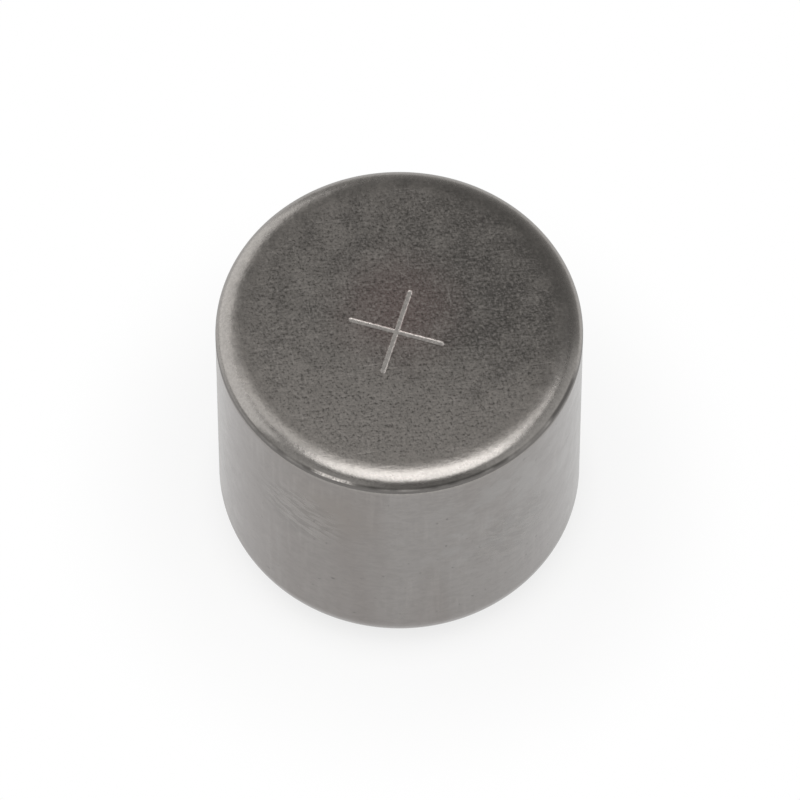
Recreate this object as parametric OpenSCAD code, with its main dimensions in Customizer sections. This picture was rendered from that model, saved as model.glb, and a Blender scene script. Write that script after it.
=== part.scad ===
// A sealed 3 V lithium cell of the one-third N size. A drawn steel can, closed at its positive end,
// is crimped over a plastic gasket and a folded steel cap, and holds a wound electrode roll.
// The cell stands on its negative contact: z = 0 is that contact's face, and +Z points to the
// positive end. All sizes are in millimetres.

/* [Cell] */
// Outside diameter of the cell
cell_d = 11.6; // [9.6:0.1:14]
// Height over the two contact faces
cell_h = 10.8; // [9:0.1:13]
// Clearance left between pieces that press on each other
seat_gap = 0.02; // [0.01:0.01:0.04]

/* [Positive can] */
// Thickness of the can's wall and of its closed end
can_wall = 0.25; // [0.2:0.01:0.3]
// Outside radius of the rim round the closed end
rim_r = 0.7; // [0.6:0.05:1.1]
// Outside radius of the bend where the wall is crimped in
crimp_r = 1.3; // [1.1:0.05:1.6]
// Length of the flat edge past the crimp's bend
crimp_edge = 0.15; // [0.05:0.05:0.3]

/* [Negative cap] */
// Thickness of the cap's sheet
cap_wall = 0.2; // [0.16:0.01:0.24]
// How far the contact face stands out past the crimp
contact_rise = 0.3; // [0.2:0.05:0.4]
// Outside radius of the edge round the contact face
contact_edge_r = 0.3; // [0.25:0.05:0.4]
// Radius of the bend where the contact's wall meets the shoulder
root_r = 0.15; // [0.1:0.05:0.2]
// Outside radius of the bend between the shoulder and the skirt
shoulder_r = 0.5; // [0.4:0.05:0.6]
// Gap between the skirt's two leaves
fold_gap = 0.06; // [0.04:0.01:0.1]

/* [Sealing gasket] */
// Thickness of the gasket's wall, foot and lip
gasket_wall = 0.3; // [0.24:0.02:0.36]
// Width of the gasket's lip that shows inside the crimped edge
lip_show = 0.3; // [0.2:0.05:0.4]
// How far the squeezed lip stays below the crimp's outer face
lip_sink = 0.1; // [0.05:0.01:0.15]
// Radius of the squeezed lip's two edges
lip_edge_r = 0.1; // [0.05:0.01:0.12]
// Width of the groove between the gasket's lip and the contact
groove_w = 0.25; // [0.2:0.05:0.35]
// How far the gasket's foot reaches in past the cap's skirt
foot_reach = 0.1; // [0.05:0.05:0.2]

/* [Electrode roll] */
// Thickness of the cathode strip
cathode_t = 0.4; // [0.32:0.02:0.48]
// Thickness of the metal grid in the cathode
grid_t = 0.04; // [0.03:0.01:0.06]
// Height of the cathode mix that covers the grid's lower edge
grid_cover = 0.4; // [0.2:0.05:0.6]
// Thickness of the lithium strip
anode_t = 0.15; // [0.14:0.01:0.18]
// Thickness of each separator film
separator_t = 0.05; // [0.04:0.01:0.06]
// Film of electrolyte between one wound layer and the next
film = 0.01; // [0.01:0.01:0.02]
// Smallest diameter of the hole in the middle of the roll
core_d = 2; // [1.6:0.1:2.6]
// How far the separators stand past the electrodes above and below
margin = 0.4; // [0.3:0.05:0.6]
// Angle by which the cathode stops short of the lithium at the roll's core and at its outer end
cathode_short = 30; // [10:5:60]
// Clearance between the roll and the cap's bore
roll_gap = 0.05; // [0.03:0.01:0.1]
// Clearance between the roll and the insulator at the closed end
end_gap = 0.05; // [0.03:0.01:0.1]

/* [Insulators and tabs] */
// Thickness of each insulating disc
insulator_t = 0.25; // [0.2:0.01:0.3]
// Clearance round the rim of each insulating disc
disc_gap = 0.05; // [0.03:0.01:0.1]
// Width of each tab
tab_w = 2; // [1.6:0.1:2.4]
// Thickness of each tab
tab_t = 0.08; // [0.06:0.01:0.1]
// Length of each tab that is joined to its strip
tab_join = 3; // [2:0.1:4]
// How far each tab's leaf reaches past the cell's axis
tab_reach = 1.2; // [0.5:0.1:1.8]
// Clearance round each tab in the slot of its disc
slot_gap = 0.1; // [0.05:0.01:0.15]

/* [Hidden] */
$fn = 96;

// The can, from the outside in
can_r = cell_d / 2;
can_floor_z = cell_h - can_wall;
crimp_in_r = can_r - crimp_r - crimp_edge;

// The gasket lies between the can and the cap
gasket_gap = can_wall + seat_gap;
cap_gap = gasket_gap + gasket_wall + seat_gap;
lip_in_r = crimp_in_r - lip_show;

// The cap's skirt is folded back on itself: an outer leaf, a gap and an inner leaf
skirt_r = can_r - cap_gap;
leaf_r = skirt_r - cap_wall - fold_gap;
bore_r = leaf_r - cap_wall;
fold_r = cap_wall + fold_gap / 2;
fold_z = cell_h - cap_gap - fold_r;
raw_edge_z = contact_rise + crimp_r + seat_gap;
shoulder_z = contact_rise + cap_gap;
contact_r = lip_in_r - groove_w;
foot_r = bore_r - foot_reach;

// The discs and the roll are stacked on the shoulder's inner face
shoulder_floor_z = shoulder_z + cap_wall;
roll_low_z = shoulder_floor_z + insulator_t;
floor_disc_z = can_floor_z - tab_t - insulator_t;
roll_h = floor_disc_z - end_gap - roll_low_z;

// Radial places of the layers in one pitch of the roll, from its inner separator outwards
cathode_at = separator_t + film;
outer_separator_at = cathode_at + cathode_t + film;
anode_at = outer_separator_at + separator_t + film;
pitch = anode_at + anode_t + film;

// The roll's spiral is made of half turns about two centres, half a pitch apart. It fills the bore,
// and the hole in its middle takes up what is left of a half turn. The inner separator is wound one
// turn past the electrodes, so that it wraps the roll.
last_turn_r = bore_r - roll_gap - separator_t - pitch / 4;
half_turns = floor((last_turn_r - core_d / 2) / (pitch / 2)) + 1;
core_r = last_turn_r - (half_turns - 1) * pitch / 2;
electrode_end = half_turns - 2;
cathode_first = 1 + cathode_short / 180;
cathode_last = electrode_end - cathode_short / 180;

// Heights of the electrodes and of the grid's lower edge
electrode_low_z = roll_low_z + margin;
electrode_high_z = roll_low_z + roll_h - margin;
electrode_h = electrode_high_z - electrode_low_z;
grid_low_z = electrode_low_z + grid_cover;

// The anode's tab drops inside the contact's hollow, and the cathode's is one half turn further out
contact_bore_r = contact_r - cap_wall;
tab_room = tab_t + contact_edge_r;
anode_tab_turn = floor((contact_bore_r - tab_room - core_r - anode_at) / (pitch / 2));
cathode_tab_turn = anode_tab_turn + 1;
grid_at = cathode_at + (cathode_t - grid_t) / 2;
cathode_tab_r = inner_r(cathode_tab_turn) + grid_at + grid_t + film;
anode_tab_r = inner_r(anode_tab_turn) + anode_at;
cathode_join_z = electrode_high_z - tab_join;
anode_join_z = electrode_low_z + tab_join;
bared_w = tab_w + 2 * slot_gap;

// Inner radius of one half turn of the roll
function inner_r(turn) = core_r + turn * pitch / 2;

// Quarter of a disc, to the right of and above its centre
module quarter(r) {
    intersection() {
        circle(r);
        square(r);
    }
}

// What an inside corner holds below its fillet: the corner is at the origin
module corner_fill(r) {
    difference() {
        square(r);
        translate([r, r]) circle(r);
    }
}

// Half section of a round body from z0 to z1, with a radius at its lower and upper edge
module block(r, z0, z1, low_r = 0, high_r = 0) {
    translate([0, z0 + low_r]) square([r, z1 - z0 - low_r - high_r]);
    if (low_r > 0) {
        translate([0, z0]) square([r - low_r, low_r]);
        translate([r - low_r, z0 + low_r]) mirror([0, 1]) quarter(low_r);
    }
    if (high_r > 0) {
        translate([0, z1 - high_r]) square([r - high_r, high_r]);
        translate([r - high_r, z1 - high_r]) quarter(high_r);
    }
}

// Half section of the can's outside, drawn in by a given depth
module can_section(depth) {
    block(can_r - depth, contact_rise + depth, cell_h - depth, crimp_r - depth, rim_r - depth);
}

// Half section of the cap and all that it holds, let out by a given gap
module cap_section(gap) {
    block(skirt_r + gap, raw_edge_z - gap, fold_z + fold_r + gap, 0, fold_r + gap);
    block(leaf_r + gap, shoulder_z - gap, fold_z, shoulder_r + gap);
    block(contact_r + gap, -gap, fold_z, contact_edge_r + gap);
    translate([contact_r, shoulder_z]) mirror([0, 1]) corner_fill(root_r);
}

// Half section of the cap's hollow
module cap_hollow_section() {
    block(bore_r, shoulder_floor_z, fold_z, shoulder_r - cap_wall);
    block(contact_bore_r, cap_wall, fold_z, contact_edge_r - cap_wall);
    translate([contact_bore_r, shoulder_floor_z]) mirror([0, 1]) corner_fill(root_r + cap_wall);
    difference() {
        translate([0, fold_z]) square([bore_r + fold_r, fold_r]);
        translate([bore_r + fold_r, fold_z]) circle(fold_r);
    }
}

// Half section of the narrow space between the skirt's two leaves
module fold_section() {
    translate([leaf_r, raw_edge_z]) square([fold_gap, fold_z - raw_edge_z]);
    for (side = [0, 1])
        translate([leaf_r + fold_gap / 2, fold_z]) mirror([side, 0]) quarter(fold_gap / 2);
}

// Half section of the lip that the crimp squeezes out past its edge
module lip_section() {
    difference() {
        block(crimp_in_r - seat_gap, contact_rise + lip_sink, shoulder_z - seat_gap, lip_edge_r);
        square([lip_in_r, shoulder_z]);
        translate([lip_in_r, contact_rise + lip_sink]) corner_fill(lip_edge_r);
    }
}

// Places things at the centre of one half turn: even ones lie on the +Y side and odd ones on -Y
module at_turn(turn) {
    side = turn % 2;
    translate([(2 * side - 1) * pitch / 4, 0, 0]) rotate([0, 0, 180 * side]) children();
}

// A strip wound from one half turn to another, either of which may be a fraction. A part half turn
// at the strip's start is mirrored, so that its full end is the one that meets the next half turn.
module wound_strip(first, last, at, t, z0, h) {
    for (turn = [floor(first):ceil(last) - 1]) {
        share = min(last, turn + 1) - max(first, turn);
        at_turn(turn) mirror([first > turn ? 1 : 0, 0, 0]) rotate_extrude(angle = 180 * share)
            translate([inner_r(turn) + at, z0]) square([t, h]);
    }
}

// Cross-section of a curved band between two radii, cut to a given width
module band_section(r0, r1, w) {
    intersection() {
        difference() {
            circle(r1);
            circle(r0);
        }
        translate([-w / 2, 0]) square([w, r1]);
    }
}

// A tab: an upright part that follows its strip's curve, and a flat leaf across the cell's axis
module tab(turn, r, z0, z1, leaf_z) {
    at_turn(turn) {
        translate([0, 0, z0]) linear_extrude(z1 - z0) band_section(r, r + tab_t, tab_w);
        translate([0, 0, leaf_z]) linear_extrude(tab_t) intersection() {
            circle(r + tab_t);
            translate([-tab_w / 2, -tab_reach]) square([tab_w, tab_reach + r + tab_t]);
        }
    }
}

// An insulating disc with a slot for its tab
module slotted_disc(r, z0, turn, tab_r) {
    difference() {
        translate([0, 0, z0]) cylinder(h = insulator_t, r = r);
        at_turn(turn) translate([0, 0, z0 - insulator_t]) linear_extrude(3 * insulator_t)
            band_section(tab_r - slot_gap, tab_r + tab_t + slot_gap, bared_w);
    }
}

module positive_can() {
    color("#8f8b87") rotate_extrude() difference() {
        can_section(0);
        can_section(can_wall);
        square([crimp_in_r, contact_rise + crimp_r]);
    }
}

module negative_cap() {
    color("#a09c97") rotate_extrude() difference() {
        cap_section(0);
        cap_hollow_section();
        fold_section();
    }
}

module sealing_gasket() {
    color("#d8d6cf") rotate_extrude() {
        difference() {
            can_section(gasket_gap);
            cap_section(seat_gap);
            square([crimp_in_r - seat_gap, shoulder_z]);
            translate([0, fold_z]) square([foot_r, cell_h - fold_z]);
        }
        lip_section();
    }
}

// The cathode is pressed on both faces of its grid, and bare of its outer layer under the tab
module cathode_strip() {
    turn_r = inner_r(cathode_tab_turn);
    color("#2b2b2d") difference() {
        wound_strip(cathode_first, cathode_last, cathode_at, cathode_t, electrode_low_z, electrode_h);
        wound_strip(cathode_first, cathode_last, grid_at - film, grid_t + 2 * film,
            grid_low_z - film, electrode_h);
        at_turn(cathode_tab_turn) translate([0, 0, cathode_join_z - slot_gap]) linear_extrude(roll_h)
            band_section(turn_r + grid_at, turn_r + outer_separator_at, bared_w);
    }
}

module cathode_grid() {
    color("#b9b6b0") wound_strip(cathode_first, cathode_last, grid_at, grid_t,
        grid_low_z, electrode_high_z - grid_low_z);
}

// The lithium is pressed in where its tab lies
module anode_strip() {
    turn_r = inner_r(anode_tab_turn);
    color("#c9c9cc") difference() {
        wound_strip(1, electrode_end, anode_at, anode_t, electrode_low_z, electrode_h);
        at_turn(anode_tab_turn) linear_extrude(anode_join_z + slot_gap)
            band_section(turn_r + anode_at - film, anode_tab_r + tab_t + film, bared_w);
    }
}

module separator_inner() {
    color("#efece4") wound_strip(0, half_turns, 0, separator_t, roll_low_z, roll_h);
}

module separator_outer() {
    color("#e4e1d8") wound_strip(0, electrode_end, outer_separator_at, separator_t,
        roll_low_z, roll_h);
}

module cathode_tab() {
    color("#b4b1ab") tab(cathode_tab_turn, cathode_tab_r,
        cathode_join_z, can_floor_z, can_floor_z - tab_t);
}

module anode_tab() {
    color("#b4b1ab") tab(anode_tab_turn, anode_tab_r, cap_wall, anode_join_z, cap_wall);
}

module floor_insulator() {
    color("#c8b98c") slotted_disc(foot_r - disc_gap, floor_disc_z, cathode_tab_turn, cathode_tab_r);
}

module cap_insulator() {
    color("#c8b98c") slotted_disc(leaf_r - shoulder_r - disc_gap, shoulder_floor_z,
        anode_tab_turn, anode_tab_r);
}

positive_can();
negative_cap();
sealing_gasket();
cathode_strip();
cathode_grid();
anode_strip();
separator_inner();
separator_outer();
cathode_tab();
anode_tab();
floor_insulator();
cap_insulator();
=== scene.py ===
"""The looks of a bare 3 V lithium cell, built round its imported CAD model. Sizes and places are in
millimetres until a mesh, a lamp or the camera takes them, and a node tree's coordinates are in
millimetres too. z = 0 is the surface that the cell stands on, and the camera looks from -Y."""

import math

import bpy
import numpy as np
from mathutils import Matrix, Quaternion, Vector


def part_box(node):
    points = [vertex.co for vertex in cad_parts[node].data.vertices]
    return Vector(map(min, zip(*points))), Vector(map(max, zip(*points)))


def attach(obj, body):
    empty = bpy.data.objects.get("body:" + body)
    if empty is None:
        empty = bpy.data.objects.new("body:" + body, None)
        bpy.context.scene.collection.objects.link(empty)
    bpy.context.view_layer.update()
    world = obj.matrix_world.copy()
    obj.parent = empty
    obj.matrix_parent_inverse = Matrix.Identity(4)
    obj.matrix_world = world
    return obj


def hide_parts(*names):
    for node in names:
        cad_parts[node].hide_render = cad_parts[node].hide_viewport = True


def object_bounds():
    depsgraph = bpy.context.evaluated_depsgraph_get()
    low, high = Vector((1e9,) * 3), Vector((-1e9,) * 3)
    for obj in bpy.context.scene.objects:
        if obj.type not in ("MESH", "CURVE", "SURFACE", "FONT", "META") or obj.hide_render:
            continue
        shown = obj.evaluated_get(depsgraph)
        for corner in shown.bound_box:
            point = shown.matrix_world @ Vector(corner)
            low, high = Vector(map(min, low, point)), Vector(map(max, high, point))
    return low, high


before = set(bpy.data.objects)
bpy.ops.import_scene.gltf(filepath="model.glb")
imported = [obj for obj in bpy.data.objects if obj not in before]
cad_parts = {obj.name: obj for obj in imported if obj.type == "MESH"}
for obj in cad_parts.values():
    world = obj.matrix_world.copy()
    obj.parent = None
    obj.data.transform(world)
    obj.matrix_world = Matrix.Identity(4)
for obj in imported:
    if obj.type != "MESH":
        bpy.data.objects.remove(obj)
cad_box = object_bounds()

MM = 0.001
MICROMETRE = 0.000001

# The can's outside, from its CAD part
CAN_LOW, CAN_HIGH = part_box("positive_can")
CAN_R = CAN_HIGH.x / MM
TOP_Z = CAN_HIGH.z / MM
MOUTH_Z = CAN_LOW.z / MM

# The can's section, whose rim is a quarter of an ellipse and whose crimp is a quarter of a circle
CAN_WALL = 0.25
RIM_WIDTH = 0.85
RIM_DROP = 0.5
RIM_START_R = CAN_R - RIM_WIDTH
INNER_RIM_R = 0.45
CRIMP_R = 1.3
CRIMP_EDGE = 0.15
BEND_Z = MOUTH_Z + CRIMP_R
MOUTH_CHAMFER = 0.02

# The fine line round the wall below the rim
LINE_DROP = 0.55
LINE_WIDTH = 0.11
LINE_DEPTH = 0.014

# Where the straight stretches of the section have a ring of points, close together beside a bend
FACE_RINGS = (3.4, 4.2, RIM_START_R - 0.25, RIM_START_R - 0.1, RIM_START_R - 0.03)
WALL_RINGS = (TOP_Z - 0.64, TOP_Z - 0.8, 7.5, 5, 2.6, BEND_Z + 0.15, BEND_Z + 0.04)
INNER_FACE_RING = 2.5

# The stamped plus sign: a groove with round ends
PLUS_CENTRE = (-0.095, -0.27)
PLUS_TURN = math.radians(-16.6)
PLUS_ARM = 1.49
PLUS_FLAT = 0.045
PLUS_EDGE = 0.1
PLUS_DEPTH = 0.0145

# The square patch of finer mesh that it is cut in, whose grid lines are closest within PATCH_STROKE of
# a stroke's middle and between the two distances of PATCH_END
PATCH_HALF = 2.0
PATCH_STROKE = 0.16
PATCH_END = (1.42, 1.68)

# Wear, tints and painted light on the can: their places on the surface, and their heights below the top.
# The rim's shade, its glint and the shade above the fine line are painted light, and the scuffs' colour
# is partly painted shade and sheen
PINK_BLOOM = (0.0, 0.6, TOP_Z)
# The next place is a patch of painted shade low on the rim, at the right
RIM_SHADE_PATCH = (5.15, -2.5, TOP_Z - 0.36)
# The next place is a painted glint low on the rim, at the front left
RIM_GLINT = (-2.1, -5.34, TOP_Z - 0.31)
BROWN_STAIN = (-2.3, -5.3, 8.2)
# The next place is a lighter patch on the wall, at the right
LIGHTER_PATCH = (3.4, -4.4, 7)
LEFT_SCUFF = (-3.16, -4.86, 7.3)
RIGHT_SCUFF = (3.57, -4.57, 5.6)
# The height of the painted shade low on the rim, which stands in for a dark reflection
RIM_SHADE_DROP = 0.38
# The height of a band of painted shade above the fine line, which stands in for a dark reflection
LINE_SHADE_DROP = 0.46

# Fine scratches, in runs: the direction in degrees from X, a mark's length and width, and the levels
# of the noise at which a mark begins and is full
FACE_SCRATCHES = ((8, 2.4, 0.05, 0.69, 0.75), (97, 1.8, 0.045, 0.70, 0.76), (146, 2.0, 0.04, 0.71, 0.77))
CAP_SCRATCHES = ((35, 2.2, 0.05, 0.68, 0.75), (121, 1.6, 0.04, 0.69, 0.76))

# The camera
ELEVATION = math.radians(61.06)
DISTANCE = 357.4
LENS = 503.8
SENSOR = 36
SHIFT = (0.00095, 0.0093)
CLIP_START = 10
CLIP_END = 5000

# The soft lights: place, width and height, and brightness. An overhead light faces straight down from
# OVERHEAD_Z. A side light faces SIDE_AIM, and its last number is its roll in degrees
OVERHEAD_Z = 71
OVERHEAD_LIGHTS = (
    ("overhead_light", (8.5, -22.5), (82, 45.5), 2.4),
    ("overhead_left", (-28, 12), (30, 22), 1.0),
    ("overhead_right", (41, 8), (30, 20), 1.3),
)
SIDE_LIGHTS = (
    ("left_light", (-155, 84, 96), (340, 185), 1.0, 15),
    ("left_fill", (-114, -146, 85), (170, 160), 0.32, 0),
    ("right_fill", (181, -39, 85), (250, 160), 0.41, 0),
)
SIDE_AIM = (0, 0, 6)

# The room and the floor
ROOM_R = 300
ROOM_LEVELS = 16
ROOM_SEGMENTS = 48
FLOOR_HALF = 3000
FLOOR_Z = -0.01


# ---------------------------------------------------------------- meshes

def arc(centre, radii, start, end, steps):
    """Points of an elliptical arc in the (r, z) half plane. Angles run from the +r axis to +z."""
    angles = np.radians(np.linspace(start, end, steps + 1))
    return [(centre[0] + radii[0] * math.cos(a), centre[1] + radii[1] * math.sin(a)) for a in angles]


def wall_line():
    """The fine line round the wall below the rim, from its upper edge to its lower edge."""
    middle = TOP_Z - LINE_DROP
    points = []
    for share in np.linspace(-1, 1, 13):
        depth = LINE_DEPTH * (0.5 + 0.5 * math.cos(math.pi * share))
        points.append((CAN_R - depth, middle - share * LINE_WIDTH / 2))
    return points


def mouth_edge():
    """The cut edge of the can's wall at its crimped mouth, from outside to inside."""
    mouth_r = CAN_R - CRIMP_R - CRIMP_EDGE
    inner_z = MOUTH_Z + CAN_WALL
    return [
        (mouth_r + MOUTH_CHAMFER, MOUTH_Z),
        (mouth_r, MOUTH_Z + MOUTH_CHAMFER),
        (mouth_r, inner_z - MOUTH_CHAMFER),
        (mouth_r + MOUTH_CHAMFER, inner_z),
    ]


def can_section():
    """The can's half outline: over its closed face, down the wall, round the mouth and back inside."""
    rim_centre = (RIM_START_R, TOP_Z - RIM_DROP)
    bend_centre = (CAN_R - CRIMP_R, BEND_Z)
    bend_in_r = CRIMP_R - CAN_WALL
    inner_z = TOP_Z - CAN_WALL
    inner_rim_centre = (CAN_R - CAN_WALL - INNER_RIM_R, inner_z - INNER_RIM_R)
    points = [(r, TOP_Z) for r in FACE_RINGS]
    points += arc(rim_centre, (RIM_WIDTH, RIM_DROP), 90, 0, steps=40)
    points += wall_line()
    points += [(CAN_R, z) for z in WALL_RINGS]
    points += arc(bend_centre, (CRIMP_R, CRIMP_R), 0, -90, steps=28)
    points += mouth_edge()
    points += arc(bend_centre, (bend_in_r, bend_in_r), -90, 0, steps=12)
    points += arc(inner_rim_centre, (INNER_RIM_R, INNER_RIM_R), 0, 90, steps=8)
    points += [(INNER_FACE_RING, inner_z)]
    return points


def patch_lines():
    """Grid lines across the plus sign's patch, close together over the strokes and their round ends."""
    half = np.concatenate([
        np.linspace(0, PATCH_STROKE, 17)[:-1],
        np.linspace(PATCH_STROKE, PATCH_END[0], 11)[:-1],
        np.linspace(PATCH_END[0], PATCH_END[1], 17)[:-1],
        np.linspace(PATCH_END[1], PATCH_HALF, 7),
    ])
    return np.concatenate([-half[:0:-1], half])


def plus_height(x, y):
    """Height of the face at a place in the patch: a flat-bottomed groove with round ends."""
    along = max(abs(x), abs(y)) - PLUS_ARM
    off = math.hypot(max(along, 0), min(abs(x), abs(y)))
    share = min(max((off - PLUS_FLAT) / (PLUS_EDGE - PLUS_FLAT), 0), 1)
    return -PLUS_DEPTH * (1 - share * share * (3 - 2 * share))


def plus_patch():
    """The plus sign's patch: its points, its faces, and its border, which runs anticlockwise from its
    lower left corner."""
    lines = patch_lines()
    count = len(lines)
    last = count - 1
    cos_turn, sin_turn = math.cos(PLUS_TURN), math.sin(PLUS_TURN)
    points = []
    for y in lines:
        for x in lines:
            points.append((
                PLUS_CENTRE[0] + x * cos_turn - y * sin_turn,
                PLUS_CENTRE[1] + x * sin_turn + y * cos_turn,
                TOP_Z + plus_height(x, y),
            ))
    faces = []
    for row in range(last):
        for col in range(last):
            first = row * count + col
            faces.append((first, first + 1, first + 1 + count, first + count))
    border = list(range(last))
    border += [row * count + last for row in range(last)]
    border += [last * count + col for col in range(last, 0, -1)]
    border += [row * count for row in range(last, 0, -1)]
    return points, faces, border


def ring_points(r, z, segments, start=0.0):
    """The points of a level ring, anticlockwise from an angle."""
    angles = [start + 2 * math.pi * step / segments for step in range(segments)]
    return [(r * math.cos(a), r * math.sin(a), z) for a in angles]


def band(ring, after):
    """The faces between two rings of as many points."""
    count = len(ring)
    return [(ring[i], after[i], after[(i + 1) % count], ring[(i + 1) % count]) for i in range(count)]


def fan(ring, tip):
    """The faces that close a ring on one point."""
    count = len(ring)
    return [(ring[i], tip, ring[(i + 1) % count]) for i in range(count)]


def build_mesh(name, points, faces, material):
    """A new object in the scene, with a mesh and a material."""
    mesh = bpy.data.meshes.new(name)
    mesh.from_pydata([Vector(p) * MM for p in points], [], faces)
    mesh.validate()
    mesh.materials.append(material)
    made = bpy.data.objects.new(name, mesh)
    bpy.context.collection.objects.link(made)
    return made


def make_can(material):
    """The can as one closed shell: the plus sign's patch, rings that follow the section, and the
    middle of the inner face. The patch's border meets the first ring point by point."""
    points, faces, ring = plus_patch()
    segments = len(ring)
    lower_left = PLUS_TURN + math.radians(225)
    for r, z in can_section():
        after = range(len(points), len(points) + segments)
        points += ring_points(r, z, segments, lower_left)
        faces += band(ring, after)
        ring = after
    faces += fan(ring, len(points))
    points.append((0, 0, TOP_Z - CAN_WALL))
    made = build_mesh("can_shell", points, faces, material)
    made.data.shade_smooth()
    return made


# ---------------------------------------------------------------- materials

class Graph:
    """A material's node tree, with a short call for each kind of node used here."""

    def __init__(self, name):
        self.material = bpy.data.materials.new(name)
        self.material.use_nodes = True
        self.tree = self.material.node_tree
        self.tree.nodes.clear()
        self.output = self.tree.nodes.new("ShaderNodeOutputMaterial")

    def node(self, kind, inputs=(), **settings):
        made = self.tree.nodes.new(kind)
        for key, value in settings.items():
            setattr(made, key, value)
        for key, value in dict(inputs).items():
            self.put(made.inputs[key], value)
        return made

    def put(self, socket, value):
        """Links a socket to a node's output, or sets its value."""
        if isinstance(value, bpy.types.NodeSocket):
            self.tree.links.new(value, socket)
        else:
            socket.default_value = value

    def calc(self, operation, a, b=0.0):
        return self.node("ShaderNodeMath", {0: a, 1: b}, operation=operation).outputs[0]

    def times(self, a, b):
        return self.calc("MULTIPLY", a, b)

    def most(self, a, b):
        return self.calc("MAXIMUM", a, b)

    def total(self, terms):
        """The sum of values, each times its share."""
        result = 0.0
        for value, share in terms:
            result = self.calc("ADD", result, self.times(value, share))
        return result

    def vector(self, operation, a, b=(0, 0, 0)):
        made = self.node("ShaderNodeVectorMath", {0: a, 1: b}, operation=operation)
        return made.outputs["Value" if operation == "LENGTH" else "Vector"]

    def stretch(self, where, factors):
        return self.vector("MULTIPLY", where, factors)

    def coords(self):
        """Places on the surface, in millimetres."""
        metres = self.node("ShaderNodeTexCoord").outputs["Object"]
        return self.stretch(metres, [1 / MM] * 3)

    def split(self, where):
        """The three coordinates of a place."""
        return self.node("ShaderNodeSeparateXYZ", {0: where}).outputs

    def from_axis(self, where):
        """The distance of a place from the cell's axis."""
        return self.vector("LENGTH", self.stretch(where, (1, 1, 0)))

    def ramp(self, value, low, high, out_low=0.0, out_high=1.0):
        """A smooth step of a value, from out_low at low to out_high at high."""
        made = self.node("ShaderNodeMapRange", {
            "Value": value, "From Min": low, "From Max": high, "To Min": out_low, "To Max": out_high,
        }, interpolation_type="SMOOTHSTEP")
        return made.outputs["Result"]

    def stripe(self, value, middle, outer, inner):
        """1 where a value is within inner of the middle, and 0 from outer on."""
        apart = self.calc("ABSOLUTE", self.calc("SUBTRACT", value, middle))
        return self.ramp(apart, outer, inner)

    def noise(self, where, size, detail=2.0, roughness=0.5, distortion=0.0):
        """Noise between 0 and 1, with features of about the given size."""
        made = self.node("ShaderNodeTexNoise", {
            "Vector": where, "Scale": 1 / size, "Detail": detail, "Roughness": roughness,
            "Distortion": distortion,
        })
        return made.outputs["Fac"]

    def drawn(self, where, turn, ratio):
        """Coordinates in which noise is drawn out along one direction, which three angles turn from X."""
        turned = self.node("ShaderNodeMapping", {
            "Vector": where, "Rotation": [math.radians(angle) for angle in turn],
        }, vector_type="TEXTURE").outputs[0]
        return self.stretch(turned, (1 / ratio, 1, 1))

    def scratches(self, where, runs):
        """Thin marks on a level face, between 0 and 1, from runs such as FACE_SCRATCHES."""
        result = 0.0
        for turn, length, width, begins, full in runs:
            marks = self.noise(self.drawn(where, (0, 0, turn), length / width), width, detail=1.0)
            result = self.most(result, self.ramp(marks, begins, full))
        return result

    def blend(self, share, a, b):
        """Colour a where the share is 0, and b where it is 1."""
        made = self.node("ShaderNodeMix", {"Factor": share}, data_type="RGBA")
        self.put(made.inputs["A"], a)
        self.put(made.inputs["B"], b)
        return made.outputs["Result"]

    def coat(self, under, over, zone, strength):
        """A colour with another over it in a zone."""
        return self.blend(self.times(zone, strength), under, over)

    def show(self, shader):
        """Puts a shader on the surface."""
        self.tree.links.new(shader.outputs[0], self.output.inputs["Surface"])
        return self.material

    def finish(self, colour, roughness, height, metallic=0.0, extra=()):
        """The shader of a solid surface. The height of its bump is in micrometres."""
        bump = self.node("ShaderNodeBump", {"Height": height, "Distance": MICROMETRE, "Strength": 1.0})
        inputs = {
            "Base Color": colour, "Roughness": roughness, "Metallic": metallic,
            "Normal": bump.outputs["Normal"],
        }
        inputs.update(extra)
        return self.show(self.node("ShaderNodeBsdfPrincipled", inputs))


def grey(level, green=0.945, blue=0.9):
    """A warm grey, as nickel plate has. Its green and blue are shares of its red."""
    return (level, level * green, level * blue, 1)


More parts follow.
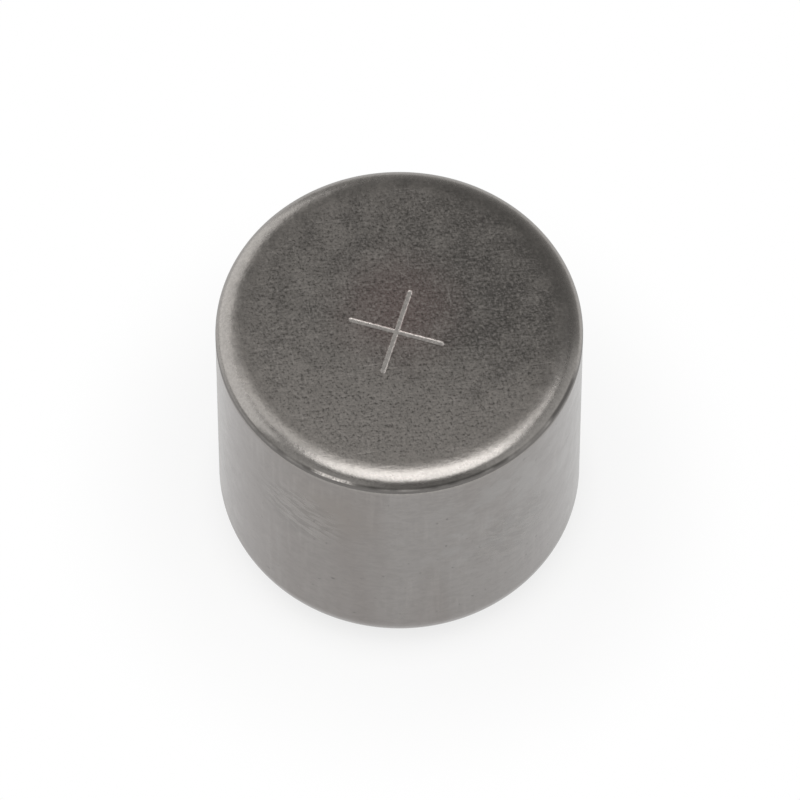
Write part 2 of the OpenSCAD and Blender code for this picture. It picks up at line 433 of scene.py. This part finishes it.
class CanGraph(Graph):
    """The can's node tree, with what its colour, roughness and relief share. A zone is 1 where it
    lies and 0 elsewhere."""

    def __init__(self):
        super().__init__("can_nickel")
        self.where = self.coords()
        self.x, self.y, self.height = self.split(self.where)
        self.radius = self.from_axis(self.where)
        self.wall = self.ramp(self.height, TOP_Z - RIM_DROP, TOP_Z - RIM_DROP - 0.2)
        self.face = self.face_zone()
        self.recess = self.recess_zone()
        self.grain = self.face_grain()
        self.scratch = self.times(self.scratches(self.where, FACE_SCRATCHES), self.face)
        self.ripple = self.noise(self.stretch(self.where, (1, 1, 1.7)), 0.42, distortion=1.2)
        left, left_marks = self.scuff(LEFT_SCUFF, (0, 10, -33), inner=0.8, outer=1.9)
        right, right_marks = self.scuff(RIGHT_SCUFF, (0, 35, 38), inner=0.9, outer=2.2)
        # The scuffs' zones and marks: real wear, which also carries painted shade and sheen in the colour
        self.scuff_shade = self.total([(left, 1.0), (right, 0.7)])
        self.scuffs_and_sheen = self.total([(left_marks, 1.0), (right_marks, 0.7)])

    def face_zone(self):
        """The tumbled face, whose edge on the rim is mottled."""
        mottle = self.noise(self.where, 0.22, detail=3.0, roughness=0.6)
        edge_r = self.total([(self.radius, 1.0), (mottle, 0.4)])
        above = self.ramp(self.height, TOP_Z - RIM_DROP, TOP_Z - 0.2)
        return self.times(self.ramp(edge_r, 5.85, 5.1), above)

    def recess_zone(self):
        """The plus sign's groove."""
        deep = self.ramp(self.height, TOP_Z - 0.006, TOP_Z - 0.013)
        return self.times(deep, self.ramp(self.radius, 2.6, 2.4))

    def face_grain(self):
        """Fine pits, crossed by short marks in two directions."""
        pits = self.noise(self.where, 0.1, detail=3.0, roughness=0.8)
        marks = self.noise(self.drawn(self.where, (0, 0, 6), 4), 0.065, detail=3.0, roughness=0.75)
        cross = self.noise(self.drawn(self.where, (0, 0, 118), 4), 0.06, roughness=0.75)
        return self.total([(pits, 0.56), (marks, 0.24), (cross, 0.2)])

    def near(self, place, inner, outer):
        """A zone round a place on the surface, with a ragged edge."""
        ragged = 0.8
        apart = self.vector("LENGTH", self.vector("SUBTRACT", self.where, place))
        apart = self.total([(apart, 1.0), (self.noise(self.where, 0.5), ragged)])
        return self.ramp(apart, outer + ragged / 2, inner + ragged / 2)

    def scuff(self, place, turn, inner, outer):
        """A patch of short rub marks in one direction: its zone, and the marks in it."""
        zone = self.near(place, inner, outer)
        marks = self.noise(self.drawn(self.where, turn, 3.2), 0.19, detail=1.0, distortion=0.6)
        return zone, self.times(zone, self.ramp(marks, 0.36, 0.64))

    def painted_rim_shade(self):
        """Painted shade low on the rim, for the dark reflection below the highlight: patchy along the
        front, and a patch at the right.
        """
        middle = TOP_Z - RIM_SHADE_DROP
        front = self.times(self.stripe(self.height, middle, 0.13, 0.06), self.ramp(self.y, 0, -5))
        front = self.times(front, self.ramp(self.noise(self.where, 1.3), 0.3, 0.6, 0.3, 1.0))
        shade_patch = self.near(RIM_SHADE_PATCH, inner=0.5, outer=1.5)
        return self.most(front, self.times(shade_patch, self.stripe(self.height, middle, 0.14, 0.07)))

    def painted_rim_glint(self):
        """A painted glint low on the rim, at the front left, where a small nick catches the light."""
        mark = self.near(RIM_GLINT, inner=0.1, outer=1.0)
        mark = self.times(mark, self.stripe(self.height, RIM_GLINT[2], 0.065, 0.025))
        uneven = self.noise(self.where, 0.07, roughness=0.7)
        return self.times(mark, self.ramp(uneven, 0.35, 0.6, 0.4, 1.0))

    def face_colour(self):
        """Lighter with patchy wear, and lighter towards the front and the left with painted light that
        stands in for the overhead lights' blurred reflection, with a faint pink bloom. Its light grains
        and dark pits fade towards the rim."""
        worn_and_lit = self.total([
            (self.noise(self.where, 0.9, detail=4.0, roughness=0.65), 0.7),
            # Painted light: lighter towards the front (-Y) and the left (-X), for the overhead lights'
            # reflection
            (self.ramp(self.y, -4, 0, 0.28, 0.0), 1.0),
            (self.ramp(self.x, -1, 2.5, 0.18, 0.06), 1.0),
        ])
        colour = self.blend(self.ramp(worn_and_lit, 0.3, 0.7), grey(0.228, 0.945, 0.89), grey(0.455, 0.935, 0.875))
        pink = (0.335, 0.266, 0.253, 1)
        colour = self.coat(colour, pink, self.near(PINK_BLOOM, inner=0.2, outer=2.8), 0.9)
        inside = self.ramp(self.radius, 5.3, 4.3, 0.35, 1.0)
        grains = self.ramp(self.grain, 0.5, 0.6, 0.0, 0.72)
        pits = self.ramp(self.grain, 0.5, 0.4, 0.0, 0.78)
        colour = self.coat(colour, grey(0.6, 0.935, 0.88), grains, inside)
        return self.coat(colour, grey(0.11, 0.945, 0.89), pits, inside)

    def recess_colour(self):
        """Bright metal, lighter where the face's grain is high."""
        return self.blend(self.ramp(self.grain, 0.4, 0.6), grey(0.52), grey(0.7))

    def rim_colour(self):
        """Satin plate with a fine mottle from tumbling."""
        tumbled = self.ramp(self.noise(self.where, 0.1, roughness=0.7), 0.35, 0.65)
        return self.blend(tumbled, grey(0.32, 0.95, 0.9), grey(0.365, 0.95, 0.9))

    def wall_colour(self):
        """Soft upright bands that grow lighter towards +X, a dark ripple, a brown stain, and a lighter
        patch at the right.
        """
        bands = self.noise(self.stretch(self.where, (1, 1, 0.12)), 1.8, detail=3.0, roughness=0.6)
        # The bands grow darker towards -X and lighter towards +X
        bands = self.total([(bands, 1.0), (self.ramp(self.x, -4, 4, -0.1, 0.1), 1.0)])
        colour = self.blend(self.ramp(bands, 0.3, 0.7), grey(0.232, 0.92, 0.87), grey(0.262, 0.945, 0.905))
        colour = self.coat(colour, grey(0.12), self.ramp(self.ripple, 0.3, 0.7, 1.0, 0.0), 0.16)
        stained = self.near(BROWN_STAIN, inner=0.2, outer=2.2)
        colour = self.coat(colour, grey(0.225, 0.9, 0.815), stained, 0.6)
        # A lighter patch at the right of the wall
        lighter_patch = self.ramp(self.noise(self.where, 0.9, detail=3.0, roughness=0.6), 0.42, 0.62)
        lighter_patch = self.times(lighter_patch, self.near(LIGHTER_PATCH, inner=1.5, outer=4.5))
        return self.coat(colour, grey(0.29, 0.97, 0.94), lighter_patch, 0.5)

    def wall_wear(self, colour):
        """A colour with the two scuff patches, whose darker zones and lighter marks are partly wear and
        partly painted shade and sheen of their ripples, faint upright lines and dark specks over it.
        """
        lines = self.noise(self.stretch(self.where, (1, 1, 0.07)), 0.2, roughness=0.6)
        lines = self.times(self.ramp(lines, 0.45, 0.7), self.ramp(self.noise(self.where, 2.5), 0.42, 0.62))
        specks = self.ramp(self.noise(self.where, 0.22, detail=1.0), 0.74, 0.79)
        # The scuff zones darker and their marks lighter: partly wear, partly painted shade and sheen of
        # their ripples
        colour = self.coat(colour, grey(0.14), self.scuff_shade, 0.28)
        colour = self.coat(colour, grey(0.37), self.scuffs_and_sheen, 0.34)
        colour = self.coat(colour, grey(0.42), self.times(lines, self.wall), 0.1)
        return self.coat(colour, grey(0.09), self.times(specks, self.wall), 0.5)

    def colour(self):
        """Every finish in its zone, with painted shade low on the rim and above the fine line, the marks,
        the wear and a painted glint over them.
        """
        colour = self.blend(self.wall, self.rim_colour(), self.wall_colour())
        colour = self.blend(self.face, colour, self.face_colour())
        colour = self.blend(self.recess, colour, self.recess_colour())
        # Painted shade low on the rim, standing in for the dark reflection below the highlight
        colour = self.coat(colour, grey(0.06), self.painted_rim_shade(), 0.85)
        # Painted shade in a band just above the fine line, standing in for a dark reflection
        shade = self.stripe(self.height, TOP_Z - LINE_SHADE_DROP, 0.09, 0.04)
        colour = self.blend(shade, colour, grey(0.16))
        colour = self.coat(colour, grey(0.6), self.scratch, 0.35)
        colour = self.wall_wear(colour)
        # A painted glint low on the rim, at the front left
        return self.blend(self.painted_rim_glint(), colour, grey(0.95))

    def roughness(self):
        """Cloudy, and a little higher on the face, in the plus sign and on the scuff marks."""
        cloud = self.noise(self.where, 0.5, detail=3.0, roughness=0.6)
        varied = self.total([(self.face, 0.09), (self.recess, 0.05), (cloud, 0.1), (self.scuffs_and_sheen, 0.04)])
        return self.calc("ADD", varied, 0.2)

    def relief(self):
        """The height of the surface, in micrometres."""
        off_wall = self.calc("SUBTRACT", 1.0, self.wall)
        face_bumps = self.noise(self.where, 0.16, roughness=0.6)
        rim_bumps = self.noise(self.where, 0.12, detail=3.0, roughness=0.6)
        wall_waves = self.noise(self.where, 1.1)
        return self.total([
            (self.times(self.grain, self.face), 9.0),
            (self.times(face_bumps, self.face), 6.0),
            (self.scratch, -1.0),
            (self.scuffs_and_sheen, 1.6),
            (self.times(rim_bumps, off_wall), 2.0),
            (self.times(wall_waves, self.wall), 8.0),
            (self.times(self.ripple, self.wall), 2.0),
        ])

    def edge_tint(self):
        """The tint of what the plate mirrors edge on, which is darker on the rim and the face."""
        return self.blend(self.wall, grey(0.78, 1, 1), grey(1, 1, 1))


def can_material():
    """Nickel plate: finely tumbled and darker on the face, satin on the rim and the wall."""
    graph = CanGraph()
    extra = {"Specular Tint": graph.edge_tint()}
    return graph.finish(graph.colour(), graph.roughness(), graph.relief(), 1.0, extra)


def metal_material(name, level, rough):
    """Rolled or drawn bright metal with a fine grain and faint stains."""
    graph = Graph(name)
    where = graph.coords()
    stain = graph.noise(where, 1.4, detail=3.0, roughness=0.6)
    grain = graph.noise(where, 0.08, roughness=0.6)
    colour = graph.blend(graph.ramp(stain, 0.3, 0.7), grey(level * 0.93), grey(level * 1.05, 0.96, 0.925))
    roughness = graph.ramp(grain, 0.25, 0.75, rough - 0.06, rough + 0.06)
    return graph.finish(colour, roughness, grain, 1.0)


def cap_material():
    """Nickel plate with fine rings from forming, and a few light rub marks on the contact face."""
    graph = Graph("cap_nickel")
    where = graph.coords()
    radius = graph.node("ShaderNodeCombineXYZ", {0: graph.from_axis(where)}).outputs[0]
    rings = graph.noise(radius, 0.05, roughness=0.6)
    grain = graph.noise(where, 0.06, roughness=0.6)
    stain = graph.noise(where, 2.2, detail=4.0, roughness=0.6)
    rub = graph.scratches(where, CAP_SCRATCHES)
    colour = graph.blend(graph.ramp(stain, 0.3, 0.7), grey(0.42), grey(0.455, 0.95, 0.91))
    colour = graph.coat(colour, grey(0.62), rub, 0.35)
    roughness = graph.ramp(grain, 0.25, 0.75, 0.24, 0.34)
    relief = graph.total([(rings, 0.8), (grain, 0.8), (rub, -0.8)])
    return graph.finish(colour, roughness, relief, 1.0)


def gasket_material():
    """Natural moulded polypropylene, slightly waxy."""
    graph = Graph("gasket_plastic")
    where = graph.coords()
    cloud = graph.noise(where, 0.9, detail=3.0, roughness=0.6)
    grain = graph.noise(where, 0.09, roughness=0.6)
    colour = graph.blend(graph.ramp(cloud, 0.3, 0.7), (0.74, 0.73, 0.68, 1), (0.82, 0.81, 0.765, 1))
    return graph.finish(colour, graph.ramp(grain, 0.25, 0.75, 0.38, 0.52), graph.times(grain, 1.5))


def cathode_material():
    """Matt black pressed powder."""
    graph = Graph("cathode_mix")
    where = graph.coords()
    powder = graph.noise(where, 0.05, detail=4.0, roughness=0.7)
    lump = graph.noise(where, 0.35, detail=3.0, roughness=0.6)
    colour = graph.blend(graph.ramp(powder, 0.3, 0.75), (0.018, 0.018, 0.02, 1), (0.055, 0.054, 0.056, 1))
    relief = graph.total([(powder, 6.0), (lump, 10.0)])
    return graph.finish(colour, graph.ramp(powder, 0.3, 0.7, 0.8, 0.95), relief)


def lithium_material():
    """Soft silver metal with a dull, patchy skin."""
    graph = Graph("lithium_metal")
    where = graph.coords()
    skin = graph.noise(where, 0.6, detail=4.0, roughness=0.65)
    grain = graph.noise(where, 0.08, roughness=0.6)
    colour = graph.blend(graph.ramp(skin, 0.35, 0.65), (0.52, 0.52, 0.55, 1), (0.74, 0.74, 0.76, 1))
    roughness = graph.ramp(skin, 0.35, 0.65, 0.55, 0.35)
    return graph.finish(colour, roughness, graph.times(grain, 2.0), 1.0)


def film_material():
    """White microporous film with a faint drawn texture along its length."""
    graph = Graph("separator_film")
    fibre = graph.noise(graph.stretch(graph.coords(), (1, 1, 0.12)), 0.05, detail=3.0, roughness=0.6)
    colour = graph.blend(graph.ramp(fibre, 0.3, 0.7), (0.84, 0.83, 0.8, 1), (0.93, 0.92, 0.9, 1))
    return graph.finish(colour, graph.ramp(fibre, 0.3, 0.7, 0.5, 0.68), graph.times(fibre, 2.0))


def sheet_material():
    """Tan insulating sheet with fine fibres."""
    graph = Graph("insulator_plastic")
    where = graph.coords()
    fibre = graph.noise(graph.stretch(where, (0.2, 1, 1)), 0.06, detail=3.0, roughness=0.6)
    cloud = graph.noise(where, 0.8, detail=3.0, roughness=0.6)
    colour = graph.blend(graph.ramp(cloud, 0.3, 0.7), (0.62, 0.555, 0.4, 1), (0.74, 0.68, 0.52, 1))
    relief = graph.total([(fibre, 2.5), (cloud, 3.0)])
    return graph.finish(colour, graph.ramp(fibre, 0.3, 0.7, 0.5, 0.66), relief)


def dress(material, *nodes):
    """Puts a material in every slot of some CAD nodes' objects."""
    for node in nodes:
        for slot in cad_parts[node].material_slots:
            slot.material = material


# ---------------------------------------------------------------- studio

def add_camera():
    """The photo's view, from the front and above."""
    low, high = cad_box
    back = Vector((0, -math.cos(ELEVATION), math.sin(ELEVATION)))
    camera = bpy.data.objects.new("camera", bpy.data.cameras.new("camera"))
    camera.data.sensor_width = SENSOR
    camera.data.lens = LENS
    camera.data.shift_x, camera.data.shift_y = SHIFT
    camera.data.clip_start = CLIP_START * MM
    camera.data.clip_end = CLIP_END * MM
    camera.location = (low + high) / 2 + back * DISTANCE * MM
    camera.rotation_mode = "QUATERNION"
    camera.rotation_quaternion = (-back).to_track_quat("-Z", "Y")
    bpy.context.collection.objects.link(camera)
    bpy.context.scene.camera = camera


def add_world():
    """A white background, whose light from all round is plain and even."""
    world = bpy.data.worlds.new("world")
    world.use_nodes = True
    background = world.node_tree.nodes["Background"]
    background.inputs["Color"].default_value = (1, 1, 1, 1)
    background.inputs["Strength"].default_value = 1.0
    bpy.context.scene.world = world
    bpy.context.scene.view_settings.view_transform = "Standard"


def room_material():
    """A dim glow, which is brightest at the floor."""
    graph = Graph("room_grey")
    light = graph.ramp(graph.split(graph.coords())[2], 0, 180, 0.42, 0.21)
    graph.show(graph.node("ShaderNodeEmission", {"Color": (1, 0.99, 0.97, 1), "Strength": light}))
    graph.material.cycles.emission_sampling = "NONE"
    return graph.material


def add_room():
    """A dome round the set, which the metal reflects where there is no lamp."""
    points, rings = [], []
    for level in range(ROOM_LEVELS):
        rise = math.pi / 2 * level / ROOM_LEVELS
        rings.append(range(len(points), len(points) + ROOM_SEGMENTS))
        points += ring_points(ROOM_R * math.cos(rise), ROOM_R * math.sin(rise), ROOM_SEGMENTS)
    faces = []
    for ring, after in zip(rings, rings[1:]):
        faces += band(ring, after)
    faces += fan(rings[-1], len(points))
    points.append((0, 0, ROOM_R))
    room = build_mesh("room", points, faces, room_material())
    room.visible_camera = False


def floor_material():
    """Pale to the light that falls on it, and white to a camera, a mirror or glass, apart from a
    faint shadow round the cell. It glows a little under the cell, so that the cell's lower end isn't
    black, and a camera below the floor sees through it."""
    graph = Graph("floor_white")
    path = graph.node("ShaderNodeLightPath").outputs
    seen = graph.most(path["Is Camera Ray"], path["Is Glossy Ray"])
    seen = graph.most(seen, path["Is Transmission Ray"])
    away = graph.vector("LENGTH", graph.coords())
    white = graph.times(seen, graph.ramp(away, 6.5, 12, 0.87, 1.0))
    white = graph.times(white, graph.ramp(away, 5.2, 6.8, 0.88, 1.0))
    white = graph.most(white, graph.ramp(away, 4.4, 4.0, 0.0, 0.6))
    pale = graph.node("ShaderNodeBsdfDiffuse", {"Color": (0.92, 0.92, 0.92, 1)})
    glow = graph.node("ShaderNodeEmission", {"Color": (1, 1, 1, 1), "Strength": 1.0})
    surface = graph.node("ShaderNodeMixShader", {0: white, 1: pale.outputs[0], 2: glow.outputs[0]})
    backfacing = graph.node("ShaderNodeNewGeometry").outputs["Backfacing"]
    below = graph.times(path["Is Camera Ray"], backfacing)
    clear = graph.node("ShaderNodeBsdfTransparent")
    graph.show(graph.node("ShaderNodeMixShader", {0: below, 1: surface.outputs[0], 2: clear.outputs[0]}))
    graph.material.cycles.emission_sampling = "NONE"
    return graph.material


def add_floor():
    """A plain pale floor, just clear of the contact face."""
    corners = [(x * FLOOR_HALF, y * FLOOR_HALF, 0) for x, y in ((-1, -1), (1, -1), (1, 1), (-1, 1))]
    floor = build_mesh("floor", corners, [(0, 1, 2, 3)], floor_material())
    floor.location.z = FLOOR_Z * MM


def add_softbox(name, place, size, radiance, aim, roll=0, oval=False):
    """A flat soft light that faces its aim, of an even brightness where 1 is white."""
    width, height = size[0] * MM, size[1] * MM
    lamp = bpy.data.lights.new(name, "AREA")
    lamp.shape = "ELLIPSE" if oval else "RECTANGLE"
    lamp.size, lamp.size_y = width, height
    lamp.energy = radiance * math.pi * width * height * (math.pi / 4 if oval else 1)
    holder = bpy.data.objects.new(name, lamp)
    holder.location = Vector(place) * MM
    holder.rotation_mode = "QUATERNION"
    facing = (Vector(aim) - Vector(place)).to_track_quat("-Z", "Y")
    holder.rotation_quaternion = facing @ Quaternion((0, 0, 1), math.radians(roll))
    holder.visible_camera = False
    bpy.context.collection.objects.link(holder)


def add_lights():
    """Three ovals overhead, which make the highlight on the rim, and the lights at the sides."""
    for name, (x, y), size, radiance in OVERHEAD_LIGHTS:
        add_softbox(name, (x, y, OVERHEAD_Z), size, radiance, aim=(x, y, 0), oval=True)
    for name, place, size, radiance, roll in SIDE_LIGHTS:
        add_softbox(name, place, size, radiance, aim=SIDE_AIM, roll=roll)


# ---------------------------------------------------------------- the scene

add_camera()
add_world()
add_room()
add_floor()
add_lights()

can = make_can(can_material())
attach(can, "root")
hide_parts("positive_can")

dress(cap_material(), "negative_cap")
dress(gasket_material(), "sealing_gasket")
dress(cathode_material(), "cathode_strip")
dress(metal_material("grid_steel", 0.55, 0.3), "cathode_grid")
dress(lithium_material(), "anode_strip")
dress(film_material(), "separator_inner", "separator_outer")
dress(metal_material("tab_nickel", 0.55, 0.25), "cathode_tab", "anode_tab")
dress(sheet_material(), "floor_insulator", "cap_insulator")
